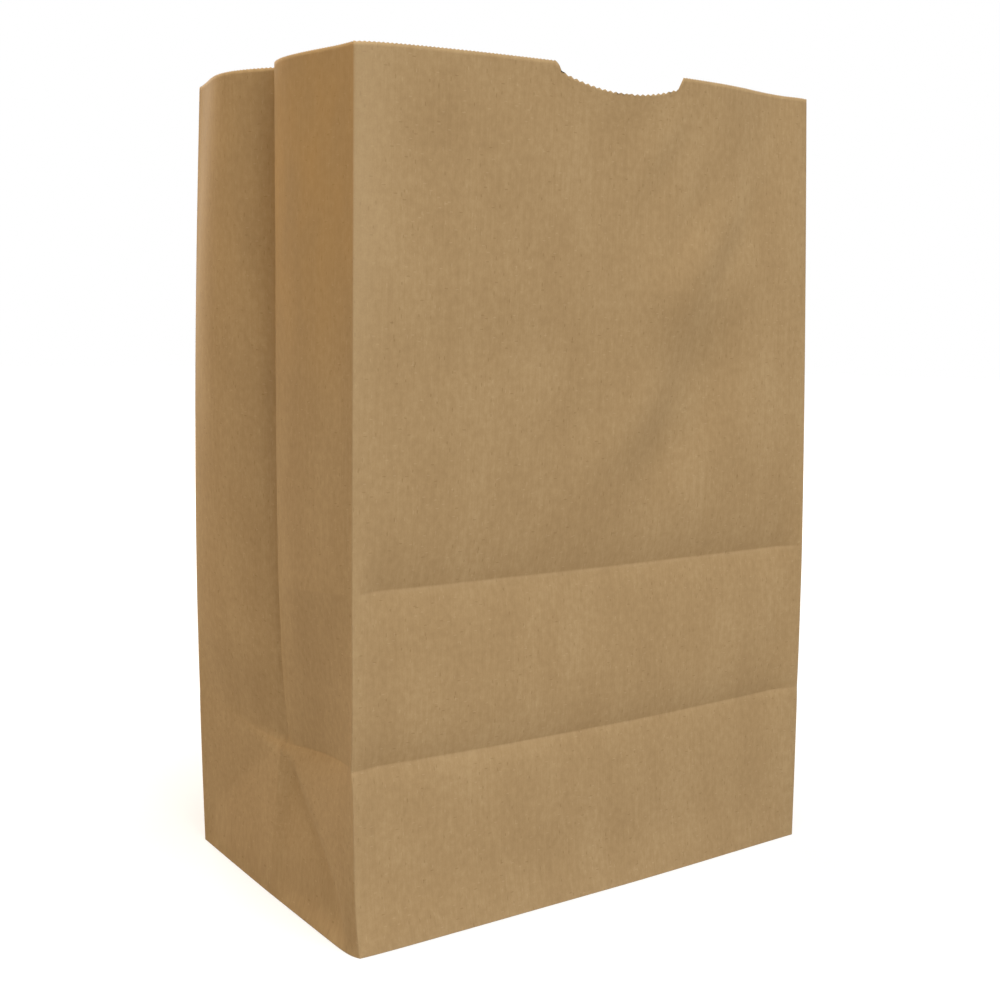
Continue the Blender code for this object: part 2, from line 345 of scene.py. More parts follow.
def corner_pinch(sheet, near, z):
    """How far the first crease dents an upright edge, most of all the near one."""
    depth = sheet.edge_dent if near else 0.2 * sheet.edge_dent
    return crease_profile(z, sheet.gusset_depth / 2, depth, *EDGE_FADE)


def panel_pinch(sheet, z):
    """How far the two creases draw the middle of the face or the back in."""
    first = crease_profile(z, sheet.gusset_depth / 2, sheet.first_pinch, *FIRST_FADE)
    second = crease_profile(z, sheet.gusset_depth, sheet.second_pinch, *SECOND_FADE)
    return (first + second) * ease(z / (30 * MM))


def corner_draw(sheet, right, back, z):
    """How far an upright edge is drawn in along the face near the bottom."""
    near = not right and not back
    tuck = sheet.corner_tuck if near else 0.15 * sheet.corner_tuck
    return tuck * np.exp(-z / TUCK_FADE)


def corner_edge(sheet, right, back, z):
    """Place across and into the bag of one of the four upright edges."""
    near = not right and not back
    up = z / sheet.height
    x = np.full_like(z, sheet.face_width / 2)
    y = sheet.gusset_depth / 2 - corner_pinch(sheet, near, z)
    if right:
        x -= sheet.right_lean * np.clip((up - 0.38) / 0.62, 0.0, 1.0) ** 1.35
    elif back:
        x += sheet.left_swell * np.sin(math.pi * np.clip(up, 0.0, 1.0))
    if right and not back:
        y -= sheet.right_set_back
    if near:
        y += sheet.foot_flare * np.exp(-z / KICK_FADE)
    x -= corner_draw(sheet, right, back, z)
    return (x if right else -x), (y if back else -y)


def ridge_line(z):
    """Where the soft flank that runs down the face's right part lies across the face."""
    heights = np.array([0.190, 0.240, 0.285, 0.320, 0.360, 0.432])
    across = np.array([-0.010, 0.022, 0.050, 0.066, 0.078, 0.086])
    return np.interp(z, heights, across)


def face_relief(sheet, x, z):
    """Dents and swells of the face, outward as positive.

    The hollow lies right of the ridge, the wrinkle runs up to the first crease, and the
    side is pressed in a little between the creases at the right.
    """
    depth = (0.8 + 3.6 * ease((z - 0.33) / 0.10)) * MM
    hollow = depth * bump(x - ridge_line(z), 0.024, 0.028) * ease((z - 0.235) / 0.080)
    dents = 0.0
    for across, high, turn, slope, long, wide in FACE_DENTS:
        way = math.radians(turn)
        down = math.cos(way) * (x - across) + math.sin(way) * (z - high)
        beside = math.cos(way) * (z - high) - math.sin(way) * (x - across)
        dents -= slope * down * np.exp(-((down / long) ** 2) - (beside / wide) ** 2)
    wrinkle = 0.5 * MM * bump(x, 0.017 + (0.090 - z) * 0.15, 2.5 * MM)
    wrinkle *= ease((0.092 - z) / 0.01) * ease((z - 0.04) / 0.04)
    side = 1.2 * MM * bump(x, 0.134, 0.014) * bump(z, 0.118, 0.022)
    grown = 0.35 * ease(z / sheet.height * 8) + 0.65 * ease((z - 0.080) / 0.100)
    swell = 0.5 * MM * waves(x, z, FACE_SEED, 0.060, 0.110) * grown
    swell *= 1.0 - 0.9 * ease((z - 0.385) / 0.045)
    crumple = 0.3 * MM * waves(x, z, CRUMPLE_SEED, 0.018, 0.030)
    crumple *= bump(x, 0.045, 0.050) * bump(z, 0.310, 0.100)
    return dents + crumple - hollow - wrinkle - side + swell


def edge_curl(sheet, part, z):
    """How far the face rolls out beside its left edge, most at the rim."""
    away = part * sheet.face_width / sheet.curl_reach
    strength = 0.3 + 0.7 * ease((z - sheet.gusset_depth) / (170 * MM))
    return sheet.curl_height * strength * (1.0 - np.exp(-away)) * (1.0 - ease(part * 2.0))


def face_bow(sheet, part, z):
    """How far the face bows out: little up to the second crease, then more up to the rim."""
    foot = sheet.bow_at_table + (sheet.bow_at_creases - sheet.bow_at_table) * ease(z / (60 * MM))
    up = np.clip((z - sheet.gusset_depth) / (sheet.height - sheet.gusset_depth), 0.0, 1.0)
    reach = foot + (sheet.bow_at_rim - sheet.bow_at_creases) * up**1.15
    arch = np.clip(np.sin(math.pi * part), 0.0, 1.0) ** (1.0 - 0.28 * ease(up))
    kick = (1.0 - ease((part - 0.5) / 0.6)) - (1.0 - part)
    return reach * arch + sheet.foot_flare * np.exp(-z / KICK_FADE) * kick


def face_place(sheet, part, z):
    x, y = between(corner_edge(sheet, False, False, z), corner_edge(sheet, True, False, z), part)
    relief = face_relief(sheet, x, z) * fade_ends(part, 14)
    drawn = panel_pinch(sheet, z) * fade_ends(part, 16)
    return x, y - face_bow(sheet, part, z) - edge_curl(sheet, part, z) - relief + drawn


def back_place(sheet, part, z):
    x, y = between(corner_edge(sheet, True, True, z), corner_edge(sheet, False, True, z), part)
    bow = sheet.back_bow * z / sheet.height * np.sin(math.pi * part)
    swell = 0.9 * MM * waves(x, z, BACK_SEED, 0.070, 0.120) * ease(z / sheet.height * 6)
    dimple = 1.6 * MM * bump(x + 0.3 * (z - 0.3), -0.030, 0.026) * bump(z, 0.300, 0.060)
    relief = (swell - dimple - panel_pinch(sheet, z)) * fade_ends(part, 10)
    return x, y + bow + relief


def gusset_inset(sheet, fold, z, near, low_bulge):
    """How far a gusset lies inside its edges; fold is 0 at an edge and 1 at its centre crease.

    The low bulge is the share of the rear half's bulge that is there from the first crease on.
    """
    first = sheet.gusset_depth / 2
    within = np.clip(fold, 0.0, 1.0)
    low = sheet.apex_inset * np.minimum(fold, z / first)
    up = np.clip((z - first) / (sheet.height - first), 0.0, 1.0)
    apex = (sheet.apex_inset - sheet.crease_inset) * np.exp(-(z - first) / APEX_FADE)
    if near:
        skew = 1.0 + 0.45 * up
        bulge = sheet.near_bulge * up**0.8
    else:
        skew = 0.75 + 0.60 * up**2
        grown = low_bulge + (1.0 - low_bulge) * up
        bulge = sheet.far_bulge * grown * ease((z - first) / (50 * MM))
    high = (sheet.crease_inset + apex) * fold - bulge * np.sin(math.pi * within**skew)
    valley = sheet.valley * ease((z - first + 6 * MM) / (10 * MM)) * (1.0 - 0.6 * up**4)
    from_crease = (1.0 - fold) * first
    dive = np.exp(-from_crease / VALLEY_REACH[0 if near else 1])
    foot = sheet.foot_bulge * np.sin(math.pi / 2 * within) * np.exp(-z / FOOT_FADE)
    return np.where(z <= first, low, high) + valley * dive - foot


def bottom_lip(sheet, fold, z):
    """How far the bottom triangle tucks in under the nearer of its two slanted folds."""
    first = sheet.gusset_depth / 2
    under = (fold * first - z) / math.sqrt(2.0)
    reach = np.maximum(under, 0.0)
    roll = np.exp(-reach / (40 * MM)) * (1.0 - np.exp(-reach / (6 * MM)))
    across = ease(fold * 4) * ease((1.0 - fold) * 7)
    upward = ease((first - z) / (4 * MM)) * ease(z / (8 * MM))
    return sheet.slant_lip * roll * across * upward


def near_lean(sheet, fold, z):
    """How far a gusset's front half leans in from the second crease down to the first."""
    first = sheet.gusset_depth / 2
    above = np.clip(2.0 - z / first, 0.0, 1.0)
    below = 0.2 * np.exp((z - first) / (6 * MM)) + 0.8 * np.exp((z - first) / (24 * MM))
    across = np.sin(math.pi * np.clip(fold, 0.0, 1.0)) ** 0.6
    return sheet.lean * np.where(z > first, above, below) * across


def gusset_place(sheet, right, part, z):
    front, rear = corner_edge(sheet, right, False, z), corner_edge(sheet, right, True, z)
    x, y = between(front, rear, part) if right else between(rear, front, part)
    fold = 1.0 - np.abs(2.0 * part - 1.0)
    nearer = part < 0.5 if right else part > 0.5
    low_bulge = 0.0 if right else LEFT_LOW_BULGE
    halves = [gusset_inset(sheet, fold, z, near, low_bulge) for near in (True, False)]
    inset = np.where(nearer, *halves)
    if not right:
        spared = corner_draw(sheet, False, False, z) * np.where(nearer, 1.0 - fold / 2, fold / 2)
        from_edge = fold * sheet.gusset_depth / 2
        inset -= spared * (1.0 - np.exp(-from_edge / (5 * MM)))
    inset += np.where(nearer, near_lean(sheet, fold, z) + bottom_lip(sheet, fold, z), 0.0)
    seed = RIGHT_SEED if right else LEFT_SEED
    hold = ease(fold * 5) * ease((1.0 - fold) * 6) * ease(z / sheet.height * 6)
    inset -= 0.7 * MM * waves(y, z, seed, 0.045, 0.120) * hold
    return (x - inset if right else x + inset), y


def crease_lift(sheet, side, part, z):
    """How far the paper stands above its level height, as the creases aren't quite level."""
    levels = [0.0, sheet.gusset_depth / 2, sheet.gusset_depth, sheet.height]
    near, middle, far = (np.interp(z, levels, [0.0, *pair, 0.0]) for pair in CREASE_LIFTS)
    if side == "face":
        hump = 4.0 * part * (1.0 - part)
        return near + (far - near) * part + middle * hump
    if side == "back":
        return np.zeros_like(z)
    fold = 1.0 - np.abs(2.0 * part - 1.0)
    centre = np.interp(z, levels, [0.0, *GUSSET_LIFTS, 0.0])
    slant = SLANT_FOOT * np.clip(1.0 - 2.0 * z / sheet.gusset_depth, 0.0, 1.0)
    slant *= ease(z / (20 * MM)) * ease(fold * 5)
    edge = near * ease(part) if side == "left" else far * (1.0 - ease(part))
    return edge + centre * fold + slant


def place(sheet, side, part, z):
    """Outside surface of the sheet, part way along a side seen anticlockwise from above."""
    if side == "face":
        return face_place(sheet, part, z)
    if side == "back":
        return back_place(sheet, part, z)
    return gusset_place(sheet, side == "right", part, z)


class Column(NamedTuple):
    """One upright line of the sheet: its side, its place along it and its distance round.

    The layer is 1 where the line lies one thickness of paper further in.
    """

    side: str
    part: float
    around: float
    layer: int = 0


def side_width(sheet, side):
    return sheet.face_width if side in ("face", "back") else sheet.gusset_depth


def lap_bounds(sheet):
    """Where along the back the seam's lap ends and starts."""
    end = sheet.seam_from_edge / sheet.face_width
    return end, end + sheet.seam_lap / sheet.face_width


def back_parts(sheet):
    """Places along the back and their layers, with a close pair at each edge of the lap."""
    step = SEAM_STEP / sheet.face_width
    lap_end, lap_start = lap_bounds(sheet)
    pairs = [(lap_end - step, 1), (lap_end, 0), (lap_start - step, 0), (lap_start, 0)]
    parts = []
    for part in graded(sheet.face_width, sheet.fine_cell, 1.3 * sheet.plain_cell)[:-1]:
        if min(abs(part - other) for other, _ in pairs) > SEAM_CLEAR / sheet.face_width:
            parts.append((part, 1 if part < lap_end else 0))
    return sorted(parts + pairs)


def sheet_columns(sheet):
    """Every column round the bag, anticlockwise from the face's left edge."""
    columns = []
    half = graded(sheet.gusset_depth / 2, sheet.fine_cell, sheet.plain_cell)
    gusset = np.concatenate([half[:-1] / 2, 0.5 + half[:-1] / 2])
    start = 0.0
    for side in SIDES:
        width = side_width(sheet, side)
        if side == "face":
            parts = [(part, 0) for part in graded(width, sheet.fine_cell, sheet.face_cell)[:-1]]
        elif side == "back":
            parts = back_parts(sheet)
        else:
            parts = [(part, 0) for part in gusset]
        columns += [Column(side, part, start + part * width, layer) for part, layer in parts]
        start += width
    return columns


def sheet_rows(sheet):
    """Heights of the rows below the rim; up to the first crease they match the gusset's columns."""
    first, second = sheet.gusset_depth / 2, sheet.gusset_depth
    lower = graded(first, sheet.fine_cell, sheet.plain_cell)
    upper = graded(sheet.height - second, sheet.fine_cell, sheet.plain_cell)
    above = second + (sheet.height - second) * upper[1:]
    rows = np.concatenate([first * lower, first + first * lower[1:], above])
    return np.maximum(rows[rows < sheet.height - RIM_CLEAR], 2 * sheet.paper)


def column_places(sheet, column, heights):
    part = np.full_like(heights, column.part)
    x, y = place(sheet, column.side, part, heights)
    level = heights + crease_lift(sheet, column.side, part, heights)
    return np.stack([x, y - column.layer * sheet.paper, level], axis=1)


def tooth_columns(sheet, rim, here, there, last_around):
    """Columns of the saw cut between two columns of the sheet: tips and roots in turn."""
    end = there.around if there.around > here.around else last_around
    width = end - here.around
    from_notch = abs(here.around + width / 2 - sheet.face_width / 2 - rim.notch_offset)
    in_notch = here.side == "face" and from_notch < rim.notch_width / 2
    step = (rim.notch_tooth_pitch if in_notch else rim.tooth_pitch) / 2
    first = math.ceil((here.around + TOOTH_CLEAR) / step)
    stop = math.ceil((end - TOOTH_CLEAR) / step)
    made = []
    for k in range(first, stop):
        part = here.part + (k * step - here.around) / side_width(sheet, here.side)
        made.append(Column(here.side, part, k * step, here.layer))
    return made


def face_with_paper(bm, layer, corners, girth):
    """Adds a face of corners (vert, distance round, height), unwrapped at the sheet's start."""
    face = bm.faces.new([vert for vert, _, _ in corners])
    rounds = [around for _, around, _ in corners]
    wrapped = max(rounds) - min(rounds) > girth / 2
    for loop, (_, around, height) in zip(face.loops, corners):
        loop[layer].uv = (around + girth if wrapped and around < girth / 2 else around, height)
    face.smooth = True
    return face


def add_wall(bm, layer, sheet, columns, heights, girth):
    """Grid of the four sides up to the last full row, split along the bottom folds.

    The seam's steps are left flat, so that they don't round off the paper beside them.
    """
    grid = np.stack([column_places(sheet, column, heights) for column in columns], axis=1)
    verts = [[bm.verts.new(place) for place in row] for row in grid]
    half = sum(1 for column in columns if column.side == "left") // 2
    starts = {side: next(i for i, c in enumerate(columns) if c.side == side) for side in SIDES}
    count = len(columns)
    for row in range(len(heights) - 1):
        for index in range(count):
            after = (index + 1) % count
            side = columns[index].side
            spots = [(row, index), (row, after), (row + 1, after), (row + 1, index)]
            corners = [(verts[r][i], columns[i].around, heights[r]) for r, i in spots]
            cell = index - starts[side]
            low_gusset = side in ("left", "right") and row < half
            if low_gusset and cell == row:
                pieces = [corners[:3], [corners[0], *corners[2:]]]
            elif low_gusset and 2 * half - 1 - cell == row:
                pieces = [[*corners[:2], corners[3]], corners[1:]]
            else:
                pieces = [corners]
            width = abs(columns[after].around - columns[index].around)
            for piece in pieces:
                face = face_with_paper(bm, layer, piece, girth)
                face.smooth = bool(width > 1.2 * SEAM_STEP)
    return verts


def add_saw_cut(bm, layer, sheet, rim, columns, top_verts, top_height, girth):
    """Top band of the sheet; gives its columns, with one at every tip and root to be cut."""
    count = len(columns)
    rim_height = np.array([sheet.height])
    made, lines = [], []
    for index, column in enumerate(columns):
        line = [column] + tooth_columns(sheet, rim, column, columns[(index + 1) % count], girth)
        verts = [bm.verts.new(column_places(sheet, c, rim_height)[0]) for c in line]
        lines.append([(vert, c.around, sheet.height) for vert, c in zip(verts, line)])
        made += line
    for index in range(count):
        after = (index + 1) % count
        tops = lines[index] + lines[after][:1]
        feet = [(top_verts[i], columns[i].around, top_height) for i in (index, after)]
        middle = len(tops) // 2
        for k in range(len(tops) - 1):
            foot = feet[0] if k < middle else feet[1]
            face_with_paper(bm, layer, [foot, tops[k + 1], tops[k]], girth)
        face_with_paper(bm, layer, [*feet, tops[middle]], girth)
    return made


def add_bottom(bm, layer, ring):
    """Flat bottom inside the ring of the lowest row, in narrowing rings."""
    outer = ring
    for scale in BOTTOM_RINGS:
        inner = [bm.verts.new((v.co.x * scale, v.co.y * scale, v.co.z)) for v in ring]
        for index in range(len(ring)):
            after = (index + 1) % len(ring)
            face = bm.faces.new((outer[after], outer[index], inner[index], inner[after]))
            flatten_paper(face, layer)
        outer = inner
    flatten_paper(bm.faces.new(list(reversed(outer))), layer)


def bottom_edge(sheet, side):
    """Points along the foot of the face or the back, seen anticlockwise from above."""
    parts = np.linspace(0.0, 1.0, 41)
    x, y = place(sheet, side, parts, np.zeros_like(parts))
    return list(zip(x.tolist(), y.tolist()))


def add_flaps(bm, layer, sheet):
    """The folded bottom: two long flaps outside, lapped and mitred, and two end flaps inside."""
    reach = (sheet.gusset_depth + sheet.bottom_lap) / 2
    for side, sign, level in (("face", -1.0, sheet.paper), ("back", 1.0, 0.0)):
        edge = [(x, y - sign * FLAP_GAP) for x, y in bottom_edge(sheet, side)]
        tip = sign * (sheet.gusset_depth / 2 - reach)
        mitred = []
        for x, y in (edge[-1], edge[0]):
            mitred.append((x - math.copysign(abs(tip - y) + FLAP_GAP, x), tip))
        verts = [bm.verts.new((x, y, level)) for x, y in edge + mitred]
        flatten_paper(bm.faces.new(list(reversed(verts))), layer)
    half = sheet.gusset_depth / 2 - END_GAP
    for sign in (-1.0, 1.0):
        near = sign * (sheet.face_width / 2 - sheet.corner_tuck - 2 * FLAP_GAP)
        far = sign * (sheet.face_width / 2 - reach)
        corners = [(far, -half), (near, -half), (near, half), (far, half)]
        if sign < 0.0:
            corners.reverse()
        verts = [bm.verts.new((x, y, 4 * sheet.paper)) for x, y in corners]
        flatten_paper(bm.faces.new(verts), layer)


def flatten_paper(face, layer):
    """Paper coordinates of a level face are its own place on the table."""
    face.smooth = True
    for loop in face.loops:
        loop[layer].uv = (loop.vert.co.x + 0.4, loop.vert.co.y - 0.3)


def worn(strength, off, width):
    """Wear of a fold at a distance off it."""
    return strength * math.exp(-((off / width) ** 2))


def fold_wear_and_highlight(sheet, side, part, z):
    """How far the fibres are broken open at a place, from the folds that lie near it.

    The level creases are worn in patches. Beside the face's left edge a painted highlight lightens
    the paper, strongest towards the rim.
    """
    width = side_width(sheet, side)
    upright = min(part, 1.0 - part) * width
    wears = [worn(0.3, upright, 0.7 * MM), worn(0.3, z, 0.8 * MM)]
    if side in ("face", "back"):
        for crease, strength in ((sheet.gusset_depth / 2, 0.25), (sheet.gusset_depth, 0.35)):
            spot = Vector((part * width / (11 * MM), crease * 900.0, WEAR_SEED))
            patchy = 0.65 + 0.7 * noise.noise(spot)
            wears.append(worn(strength * patchy, z - crease + 1.2 * MM, 1.1 * MM))
    elif z > sheet.gusset_depth / 2 - MM:
        wears.append(worn(0.15, abs(part - 0.5) * width, 0.7 * MM))
    if side == "face":
        # Painted highlight: a pale strip on the face beside its left edge, stronger towards the rim
        painted_highlight = math.exp(-((part * width / (11 * MM)) ** 1.3))
        wears.append(0.7 * painted_highlight * (0.25 + 0.75 * float(ease((z - 0.24) / 0.12))))
    return max(wears)


def fold_warmth(side, part, z):
    """How far the paper is tinted orange: on the upper part of the left gusset."""
    if side != "left":
        return 0.0
    return float(ease((z - 0.24) / 0.13) * (0.35 + 0.65 * ease((part - 0.35) / 0.3)))


def new_float(mesh, name, values, beyond=0.0):
    """Attribute of the vertices; those beyond the given values are the bottom's."""
    spare = [beyond] * (len(mesh.vertices) - len(values))
    attribute = mesh.attributes.new(name, "FLOAT", "POINT")
    attribute.data.foreach_set("value", np.asarray(values + spare, dtype=np.float32))


def across_face(sheet, column):
    return (column.part - 0.5) * sheet.face_width if column.side == "face" else OFF_FACE


def flat_sheet(sheet, rim):
    """The folded sheet before its rim is cut, and the columns that its sides' vertices lie in."""
    bm = bmesh.new()
    layer = bm.loops.layers.uv.new("paper")
    columns = sheet_columns(sheet)
    heights = sheet_rows(sheet)
    girth = 2 * (sheet.face_width + sheet.gusset_depth)
    verts = add_wall(bm, layer, sheet, columns, heights, girth)
    known = [(column, height) for height in heights for column in columns]
    cut = add_saw_cut(bm, layer, sheet, rim, columns, verts[-1], heights[-1], girth)
    known += [(column, sheet.height) for column in cut]
    add_bottom(bm, layer, verts[0])
    add_flaps(bm, layer, sheet)
    mesh = bpy.data.meshes.new("folded_sheet")
    bm.to_mesh(mesh)
    bm.free()
    new_float(mesh, "around", [c.around for c, _ in known])
    new_float(mesh, "across", [across_face(sheet, c) for c, _ in known], OFF_FACE)
    # Fold wear, together with the painted highlight beside the face's left edge
    new_float(mesh, "wear", [fold_wear_and_highlight(sheet, c.side, c.part, z) for c, z in known])
    new_float(mesh, "warmth", [fold_warmth(c.side, c.part, z) for c, z in known])
    return mesh, [c for c, _ in known]


def node(tree, kind, links=(), **settings):
    """Adds a node with the given properties; links are its inputs and their sockets or values."""
    made = tree.nodes.new(kind)
    for name, value in settings.items():
        setattr(made, name, value)
    for key, value in links:
        socket = made.inputs[key]
        if isinstance(value, bpy.types.NodeSocket):
            tree.links.new(value, socket)
        else:
            socket.default_value = value
    return made


def math_node(tree, operation, first, second=0.0, clamp=False):
    links = [(0, first), (1, second)]
    return node(tree, "ShaderNodeMath", links, operation=operation, use_clamp=clamp).outputs[0]


def saw_cut_tree():
    """Node tree that cuts the teeth and the thumb notch into the sheet's rim."""
    tree = bpy.data.node_groups.new("saw_cut_rim", "GeometryNodeTree")
    maths = partial(math_node, tree)
    sockets = tree.interface
    sockets.new_socket("Geometry", in_out="INPUT", socket_type="NodeSocketGeometry")
    for name in ("Rim Height", *RIM_INPUTS):
        socket = sockets.new_socket(name, in_out="INPUT", socket_type="NodeSocketFloat")
        socket.subtype = "DISTANCE"
    sockets.new_socket("Paper", in_out="INPUT", socket_type="NodeSocketMaterial")
    sockets.new_socket("Geometry", in_out="OUTPUT", socket_type="NodeSocketGeometry")
    given = tree.nodes.new("NodeGroupInput").outputs

    def known(name):
        links = [("Name", name)]
        return node(tree, "GeometryNodeInputNamedAttribute", links, data_type="FLOAT").outputs[0]

    around, across = known("around"), known("across")
    place_of = node(tree, "GeometryNodeInputPosition").outputs[0]
    height = node(tree, "ShaderNodeSeparateXYZ", [(0, place_of)]).outputs["Z"]

    half_width = maths("MULTIPLY", given["Notch Width"], 0.5)
    from_middle = maths("SUBTRACT", across, given["Notch Offset"])
    off = maths("ABSOLUTE", from_middle)
    inner = maths("SUBTRACT", half_width, given["Shoulder Run"])
    slant = maths("DIVIDE", maths("SUBTRACT", half_width, off), given["Shoulder Run"], clamp=True)
    from_lowest = maths("SUBTRACT", from_middle, given["Notch Lowest"])
    reach = maths("DIVIDE", maths("ABSOLUTE", from_lowest), inner)
    arc = maths("MULTIPLY", maths("SUBTRACT", 1.0, maths("MULTIPLY", reach, reach)), slant)
    deeper = maths("MULTIPLY", maths("SUBTRACT", given["Notch Depth"], given["Shoulder Drop"]), arc)
    notch = maths("ADD", maths("MULTIPLY", given["Shoulder Drop"], slant), deeper)

    below = maths("SUBTRACT", given["Rim Height"], height)
    weight = maths("SUBTRACT", 1.0, maths("DIVIDE", below, given["Band"]), clamp=True)
    at_rim = maths("LESS_THAN", below, AT_RIM)
    in_notch = maths("LESS_THAN", off, half_width)

    def knife(fine, coarse):
        switch = [("Switch", in_notch), ("False", fine), ("True", coarse)]
        return node(tree, "GeometryNodeSwitch", switch, input_type="FLOAT").outputs[0]

    half_pitch = maths("MULTIPLY", knife(given["Tooth Pitch"], given["Notch Tooth Pitch"]), 0.5)
    tooth = maths("DIVIDE", maths("PINGPONG", around, half_pitch), half_pitch)
    depth = knife(given["Tooth Depth"], given["Notch Tooth Depth"])
    cut = maths("MULTIPLY", maths("MULTIPLY", tooth, depth), at_rim)
    drop = maths("ADD", maths("MULTIPLY", notch, weight), cut)
    offset = node(tree, "ShaderNodeCombineXYZ", [("Z", maths("MULTIPLY", drop, -1.0))]).outputs[0]
    links = [("Geometry", given["Geometry"]), ("Offset", offset)]
    moved = node(tree, "GeometryNodeSetPosition", links)
    real = node(tree, "GeometryNodeRealizeInstances", [("Geometry", moved.outputs[0])])
    links = [("Geometry", real.outputs[0]), ("Material", given["Paper"])]
    dressed = node(tree, "GeometryNodeSetMaterial", links)
    node(tree, "NodeGroupOutput", [("Geometry", dressed.outputs[0])])
    return tree


def set_inputs(modifier, values):
    """Sets a node modifier's inputs by their sockets' identifiers."""
    for item in modifier.node_group.interface.items_tree:
        if item.item_type == "SOCKET" and item.in_out == "INPUT" and item.name in values:
            modifier[item.identifier] = values[item.name]


def baked(thing, name):
    """Plain mesh of what an object's modifiers make of it; the modifiers are then removed."""
    bpy.context.view_layer.update()
    seen = thing.evaluated_get(bpy.context.evaluated_depsgraph_get())
    mesh = bpy.data.meshes.new_from_object(seen)
    mesh.name = name
    thing.modifiers.clear()
    thing.data = mesh
    return thing


def link_new(name, mesh):
    thing = bpy.data.objects.new(name, mesh)
    bpy.context.scene.collection.objects.link(thing)
    return thing


def new_material(name, values):
    """Material with the given inputs of its shader, its node tree and the shader."""
    material = bpy.data.materials.new(name)
    material.use_nodes = True
    shader = material.node_tree.nodes["Principled BSDF"]
    for key, value in values.items():
        shader.inputs[key].default_value = value
    return material, material.node_tree, shader


def kraft_paper(colours):
    """Unbleached kraft paper, machine made and matt: cloudy pulp, upright grain, bark flecks.

    It gives the eye a warm mid brown that is never even: soft clouds a few millimetres
    wide, fine streaks along the web, sparse dark and pale fibres, paler fold lines, and a painted
    highlight beside the face's left edge.
    """
    values = {"Metallic": 0.0, "IOR": 1.45, "Specular IOR Level": 0.12}
    values.update({"Sheen Weight": 0.03, "Sheen Roughness": 0.5})
    material, tree, shader = new_material("unbleached_kraft_paper", values)
    maths = partial(math_node, tree)
    paper = node(tree, "ShaderNodeUVMap", uv_map="paper").outputs[0]

    def in_mm(across, along, turn=0.0):
        """Paper coordinates with one unit to the given numbers of millimetres."""
        scale = (1.0 / (across * MM), 1.0 / (along * MM), 1.0)
        links = [("Vector", paper), ("Rotation", (0.0, 0.0, math.radians(turn))), ("Scale", scale)]
        return node(tree, "ShaderNodeMapping", links, vector_type="POINT").outputs[0]

    def cloud(across, along, detail=2.0, rough=0.5):
        links = [("Vector", in_mm(across, along)), ("Scale", 1.0)]
        links += [("Detail", detail), ("Roughness", rough)]
        return node(tree, "ShaderNodeTexNoise", links, noise_dimensions="2D").outputs[0]

    def mix(share, under, over):
        """Colour of the second over the first, as far as the share says."""
        links = [(0, share), (6, under), (7, over)]
        return node(tree, "ShaderNodeMix", links, data_type="RGBA").outputs[2]

    pulp = cloud(3.2, 4.5, 3.0, 0.6)
    broad = cloud(28.0, 60.0)
    grain = cloud(0.9, 26.0, 2.0, 0.6)
    fuzz = cloud(0.7, 1.1, 3.0, 0.7)
    tone = 0.0
    for signal, amount in ((pulp, 1.15), (broad, 0.8), (grain, 0.5), (fuzz, 0.5)):
        swing = maths("MULTIPLY", maths("SUBTRACT", signal, 0.5), amount)
        tone = maths("ADD", tone, swing)
    tone = maths("ADD", tone, 0.5, clamp=True)
    ramp = node(tree, "ShaderNodeValToRGB", [("Fac", tone)])
    ramp.color_ramp.elements[0].color = colours.dark
    ramp.color_ramp.elements[1].color = colours.light
    ramp.color_ramp.elements.new(0.5).color = colours.body
    shade = ramp.outputs[0]

    def flecks(across, along, turn, size, share):
        """Sparse short flecks: cell points of a stretched cell pattern."""
        links = [("Vector", in_mm(across, along, turn)), ("Scale", 1.0), ("Randomness", 1.0)]
        cells = node(tree, "ShaderNodeTexVoronoi", links, voronoi_dimensions="2D", feature="F1")
        near = maths("LESS_THAN", cells.outputs["Distance"], size)
        links = [("Color", cells.outputs["Color"])]
        picked = node(tree, "ShaderNodeSeparateColor", links).outputs[0]
        return maths("MULTIPLY", near, maths("LESS_THAN", picked, share))

    for cells in SHIVES:
        shade = mix(maths("MULTIPLY", flecks(*cells, 0.10, 0.08), 0.3), shade, colours.shive)
    for cells in FIBRES:
        shade = mix(maths("MULTIPLY", flecks(*cells, 0.11, 0.12), 0.25), shade, colours.fibre)
    wear = node(tree, "ShaderNodeAttribute", attribute_name="wear").outputs["Fac"]
    warmth = node(tree, "ShaderNodeAttribute", attribute_name="warmth").outputs["Fac"]
    orange_tint = maths("MULTIPLY", warmth, maths("MULTIPLY", broad, 0.6))
    shade = mix(orange_tint, shade, colours.warm)
    # Paler worn fold lines, plus the painted highlight beside the face's left edge, in the worn
    # colour
    wear_and_highlight_share = maths("MULTIPLY", wear, maths("ADD", 0.5, maths("MULTIPLY", fuzz, 0.5)))
    shade = mix(wear_and_highlight_share, shade, colours.worn)
    tree.links.new(shade, shader.inputs["Base Color"])
    tree.links.new(maths("ADD", 0.74, maths("MULTIPLY", pulp, 0.2)), shader.inputs["Roughness"])

    relief = maths("ADD", maths("MULTIPLY", fuzz, 0.5), maths("MULTIPLY", grain, 0.35))
    links = [("Strength", 0.3), ("Distance", 0.04 * MM), ("Height", relief)]
    fine = node(tree, "ShaderNodeBump", links)
    links = [("Strength", 0.35), ("Distance", 0.25 * MM)]
    links += [("Height", cloud(9.0, 16.0)), ("Normal", fine.outputs[0])]
    tree.links.new(node(tree, "ShaderNodeBump", links).outputs[0], shader.inputs["Normal"])
    return material


def layer_weights(thing, sheet, known):
    """Vertex group that doubles the paper's thickness along the lap seam."""
    group = thing.vertex_groups.new(name="layers")
    slack = 0.1 * MM / sheet.face_width
    lap_end, lap_start = (bound - slack for bound in lap_bounds(sheet))
    single, double = list(range(len(known), len(thing.data.vertices))), []
    for index, column in enumerate(known):
        lapped = column.side == "back" and lap_end < column.part < lap_start
        above = thing.data.vertices[index].co.z > 4 * sheet.paper
        (double if lapped and above else single).append(index)
    group.add(single, 0.5, "REPLACE")
    group.add(double, 1.0, "REPLACE")


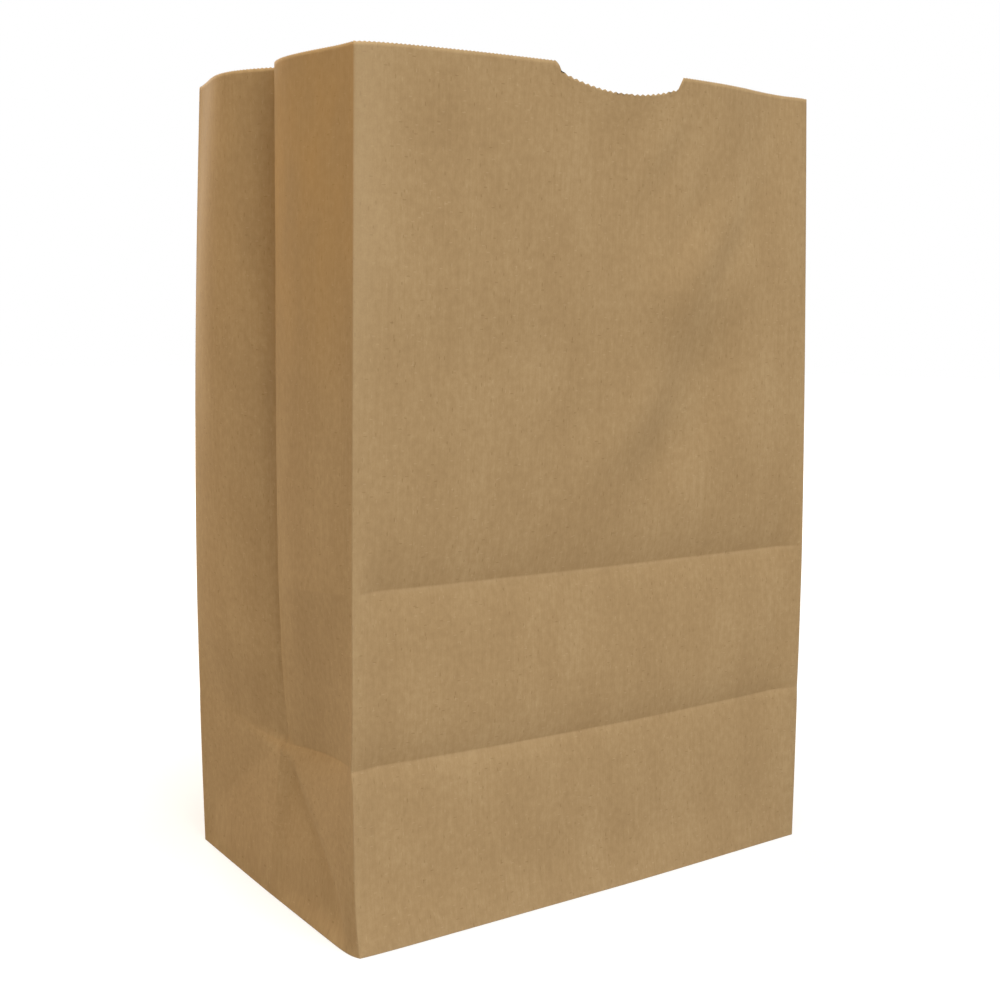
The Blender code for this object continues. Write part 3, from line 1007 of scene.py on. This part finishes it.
class BAG_OT_fold_sheet(bpy.types.Operator):
    """Fold the sheet of kraft paper into the standing bag and cut its rim"""

    bl_idname = "bag.fold_sheet"
    bl_label = "Fold Sheet"

    def execute(self, context):
        settings = context.scene.paper_bag
        sheet, rim = settings.sheet, settings.rim
        mesh, known = flat_sheet(sheet, rim)
        bag = link_new("folded_kraft_sheet", mesh)
        paper = kraft_paper(settings.paper)
        layer_weights(bag, sheet, known)
        knife = bag.modifiers.new("saw_cut_rim", "NODES")
        knife.node_group = saw_cut_tree()
        values = {name: getattr(rim, name.lower().replace(" ", "_")) for name in RIM_INPUTS}
        set_inputs(knife, {"Rim Height": sheet.height, "Paper": paper, **values})
        wall = bag.modifiers.new("paper", "SOLIDIFY")
        wall.thickness = 2 * sheet.paper
        wall.offset = -1.0
        wall.use_even_offset = True
        wall.vertex_group = "layers"
        baked(bag, "folded_kraft_sheet")
        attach(bag, BODY)
        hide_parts(BAG_NODE)
        return {"FINISHED"}


def washed_table(studio):
    """Matt pale table, washed out to white in the picture as on a packshot.

    Only the camera sees the wash, so that it doesn't light the bag from below, and a
    faint shadow is left where the bag stands. Far out the table goes over into white.
    """
    values = {"Base Color": studio.floor, "Roughness": 0.9, "Specular IOR Level": 0.1}
    values["Emission Color"] = (1.0, 1.0, 1.0, 1.0)
    material, tree, shader = new_material("washed_white_table", values)
    place_of = node(tree, "ShaderNodeTexCoord").outputs["Object"]
    out = node(tree, "ShaderNodeVectorMath", [(0, place_of)], operation="LENGTH").outputs["Value"]
    links = [("Value", out), ("From Min", studio.wash_start), ("From Max", studio.wash_end)]
    links += [("To Min", studio.floor_white), ("To Max", 1.0)]
    wash = node(tree, "ShaderNodeMapRange", links, interpolation_type="SMOOTHSTEP").outputs[0]
    seen = node(tree, "ShaderNodeLightPath").outputs["Is Camera Ray"]
    shown = node(tree, "ShaderNodeMath", [(0, wash), (1, seen)], operation="MULTIPLY").outputs[0]
    tree.links.new(shown, shader.inputs["Emission Strength"])
    return material


def soft_light(studio, name, watts, turn, rise, away, size, tint):
    """Soft box that looks at the bag from a distance, turned from -Y towards -X and raised."""
    lamp = bpy.data.lights.new(name, "AREA")
    lamp.shape = "SQUARE"
    lamp.size = size
    lamp.energy = watts
    lamp.color = srgb(tint)[:3]
    box = bpy.data.objects.new(name, lamp)
    bpy.context.scene.collection.objects.link(box)
    across, up = math.radians(turn), math.radians(rise)
    out = Vector((-math.sin(across) * math.cos(up), -math.cos(across) * math.cos(up), math.sin(up)))
    box.location = Vector(studio.lit_place) + away * out
    box.rotation_mode = "QUATERNION"
    box.rotation_quaternion = (-out).to_track_quat("-Z", "Y")
    box.visible_camera = False


def white_room(lit, seen):
    """World that lights the bag softly from all round and looks white behind it."""
    world = bpy.data.worlds.new("white_room")
    bpy.context.scene.world = world
    world.use_nodes = True
    tree = world.node_tree
    back = tree.nodes["Background"]
    path = node(tree, "ShaderNodeLightPath").outputs["Is Camera Ray"]
    links = [("Value", path), ("To Min", lit), ("To Max", seen)]
    tree.links.new(node(tree, "ShaderNodeMapRange", links).outputs[0], back.inputs["Strength"])
    back.inputs["Color"].default_value = (1.0, 1.0, 1.0, 1.0)


def aim_camera(studio):
    data = bpy.data.cameras.new("photo_view")
    camera = bpy.data.objects.new("photo_view", data)
    bpy.context.scene.collection.objects.link(camera)
    yaw, pitch, roll = studio.camera_yaw, studio.camera_pitch, studio.camera_roll
    level = math.cos(pitch)
    ahead = Vector((math.sin(yaw) * level, math.cos(yaw) * level, -math.sin(pitch)))
    right = Vector((math.cos(yaw), -math.sin(yaw), 0.0))
    down = ahead.cross(right)
    across = math.cos(roll) * right + math.sin(roll) * down
    up = math.sin(roll) * right - math.cos(roll) * down
    axes = Matrix((across, up, -ahead)).transposed()
    camera.matrix_world = Matrix.Translation(studio.camera_place) @ axes.to_4x4()
    data.lens = studio.lens
    data.sensor_width = 36.0
    data.shift_y = studio.shift
    data.clip_start = 0.01
    bpy.context.scene.camera = camera


class BAG_OT_set_studio(bpy.types.Operator):
    """Lay the pale floor, hang the soft lights and aim the camera"""

    bl_idname = "bag.set_studio"
    bl_label = "Set Studio"

    def execute(self, context):
        studio = context.scene.paper_bag.studio
        mesh = bpy.data.meshes.new("studio_floor")
        bm = bmesh.new()
        bmesh.ops.create_circle(bm, cap_ends=True, segments=96, radius=studio.floor_radius)
        bm.to_mesh(mesh)
        bm.free()
        mesh.materials.append(washed_table(studio))
        link_new("studio_floor", mesh)
        for name, setting, *box in SOFT_BOXES:
            soft_light(studio, name, getattr(studio, setting), *box)
        white_room(studio.room_light, 1.0)
        context.scene.view_settings.view_transform = "Standard"
        aim_camera(studio)
        return {"FINISHED"}


class BAG_PT_panel(bpy.types.Panel):
    """Steps that build the bag"""

    bl_idname = "BAG_PT_panel"
    bl_label = "Paper Bag"
    bl_space_type = "VIEW_3D"
    bl_region_type = "UI"
    bl_category = "Paper Bag"

    def draw(self, context):
        column = self.layout.column(align=True)
        for step in STEPS:
            column.operator(step.bl_idname)


STEPS = (BAG_OT_fold_sheet, BAG_OT_set_studio)
SETTINGS = (SheetSettings, RimSettings, PaperSettings, StudioSettings, BagSettings)
CLASSES = (*SETTINGS, *STEPS, BAG_PT_panel)


def register():
    for made in CLASSES:
        bpy.utils.register_class(made)
    bpy.types.Scene.paper_bag = PointerProperty(type=BagSettings)


def unregister():
    del bpy.types.Scene.paper_bag
    for made in reversed(CLASSES):
        bpy.utils.unregister_class(made)


def main():
    register()
    for step in STEPS:
        group, name = step.bl_idname.split(".")
        getattr(getattr(bpy.ops, group), name)()


if __name__ == "__main__":
    main()
